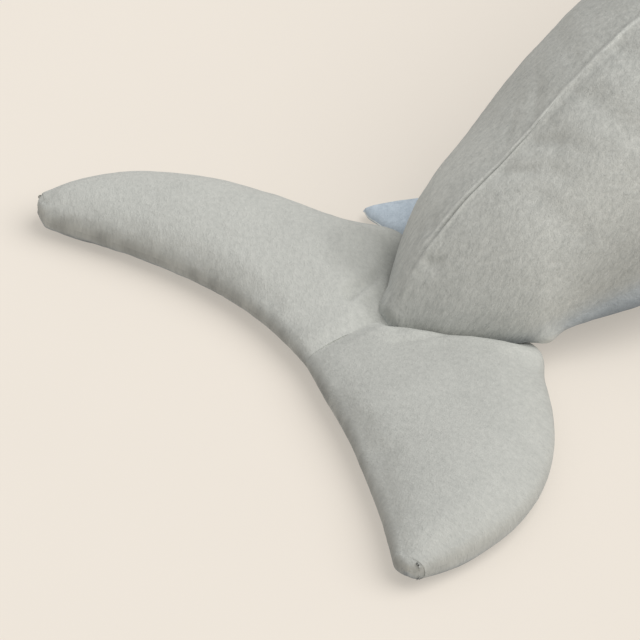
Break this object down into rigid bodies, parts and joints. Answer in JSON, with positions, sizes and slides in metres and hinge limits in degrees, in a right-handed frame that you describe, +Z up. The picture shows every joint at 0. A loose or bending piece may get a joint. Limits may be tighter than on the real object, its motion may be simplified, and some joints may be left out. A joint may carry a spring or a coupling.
{
  "type": "plush shark",
  "caption": "Large stuffed plush shark lying on its belly, grey back, pale blue belly, raised back seam, flat two-lobed tail and floppy sewn fins.",
  "frame": {"origin": "on the floor, under the middle of the shark's length and width", "axes": "+X towards the nose, +Y towards the shark's left, +Z up"},
  "size_m": [0.9858, 0.5108, 0.3146],
  "materials": {
    "grey_plush": "short-pile plush",
    "blue_plush": "short-pile plush",
    "polyester_fill": "loose fibre wadding",
    "embroidery_thread": "satin thread",
    "eye_plastic": "polished",
    "washer_plastic": "moulded"
  },
  "bodies": {
    "torso": {"back_panel_left": "grey_plush", "back_panel_right": "grey_plush", "belly_panel": "blue_plush", "torso_stuffing": "polyester_fill", "eye_left": "eye_plastic", "eye_right": "eye_plastic", "eye_washer_left": "washer_plastic", "eye_washer_right": "washer_plastic", "gill_stitches_left": "embroidery_thread", "gill_stitches_right": "embroidery_thread", "mouth_stitching": "embroidery_thread", "closing_stitches": "embroidery_thread"},
    "tail_stock": {"tail_back_panel_left": "grey_plush", "tail_back_panel_right": "grey_plush", "tail_belly_panel": "blue_plush", "tail_stuffing": "polyester_fill", "fluke_centre_top_panel": "grey_plush", "fluke_centre_under_panel": "blue_plush", "fluke_centre_stuffing": "polyester_fill"},
    "fluke_left": {"fluke_left_top_panel": "grey_plush", "fluke_left_under_panel": "blue_plush", "fluke_left_stuffing": "polyester_fill"},
    "fluke_right": {"fluke_right_top_panel": "grey_plush", "fluke_right_under_panel": "blue_plush", "fluke_right_stuffing": "polyester_fill"},
    "anal_fin": {"anal_fin_outer_panel": "blue_plush", "anal_fin_inner_panel": "blue_plush", "anal_fin_wadding": "polyester_fill"},
    "dorsal_fin": {"dorsal_fin_panel_left": "grey_plush", "dorsal_fin_panel_right": "grey_plush", "dorsal_fin_stuffing": "polyester_fill"},
    "pectoral_left": {"pectoral_left_top_panel": "grey_plush", "pectoral_left_under_panel": "blue_plush", "pectoral_left_stuffing": "polyester_fill"},
    "pectoral_right": {"pectoral_right_top_panel": "grey_plush", "pectoral_right_under_panel": "blue_plush", "pectoral_right_stuffing": "polyester_fill"}
  },
  "joints": [
    {"name": "tail_bend", "type": "hinge", "parent": "torso", "child": "tail_stock", "pos_m": [-0.217, 0, 0.06], "axis": [0, 0, 1], "range_deg": [-25, 25], "stiffness_Nm_per_rad": 1.2},
    {"name": "fluke_left_flap", "type": "hinge", "parent": "tail_stock", "child": "fluke_left", "pos_m": [-0.447, 0.0025, 0.011], "axis": [0.8771, 0.4803, 0], "range_deg": [-25, 45], "stiffness_Nm_per_rad": 0.2},
    {"name": "fluke_right_flap", "type": "hinge", "parent": "tail_stock", "child": "fluke_right", "pos_m": [-0.447, -0.0025, 0.011], "axis": [-0.8771, 0.4803, 0], "range_deg": [-25, 45], "stiffness_Nm_per_rad": 0.2},
    {"name": "anal_fin_fold", "type": "hinge", "parent": "tail_stock", "child": "anal_fin", "pos_m": [-0.302, 0.003, 0.0046], "axis": [1, 0, 0], "range_deg": [-85, 0], "stiffness_Nm_per_rad": 0.03},
    {"name": "dorsal_fin_flop", "type": "hinge", "parent": "torso", "child": "dorsal_fin", "pos_m": [0.093, 0, 0.2205], "axis": [1, 0, 0], "range_deg": [-35, 35], "stiffness_Nm_per_rad": 0.15},
    {"name": "pectoral_left_flap", "type": "hinge", "parent": "torso", "child": "pectoral_left", "pos_m": [0.221, 0.1145, 0.054], "axis": [1, 0, 0], "range_deg": [-25, 45], "stiffness_Nm_per_rad": 0.2},
    {"name": "pectoral_right_flap", "type": "hinge", "parent": "torso", "child": "pectoral_right", "pos_m": [0.221, -0.1145, 0.054], "axis": [-1, 0, 0], "range_deg": [-25, 45], "stiffness_Nm_per_rad": 0.2}
  ]
}
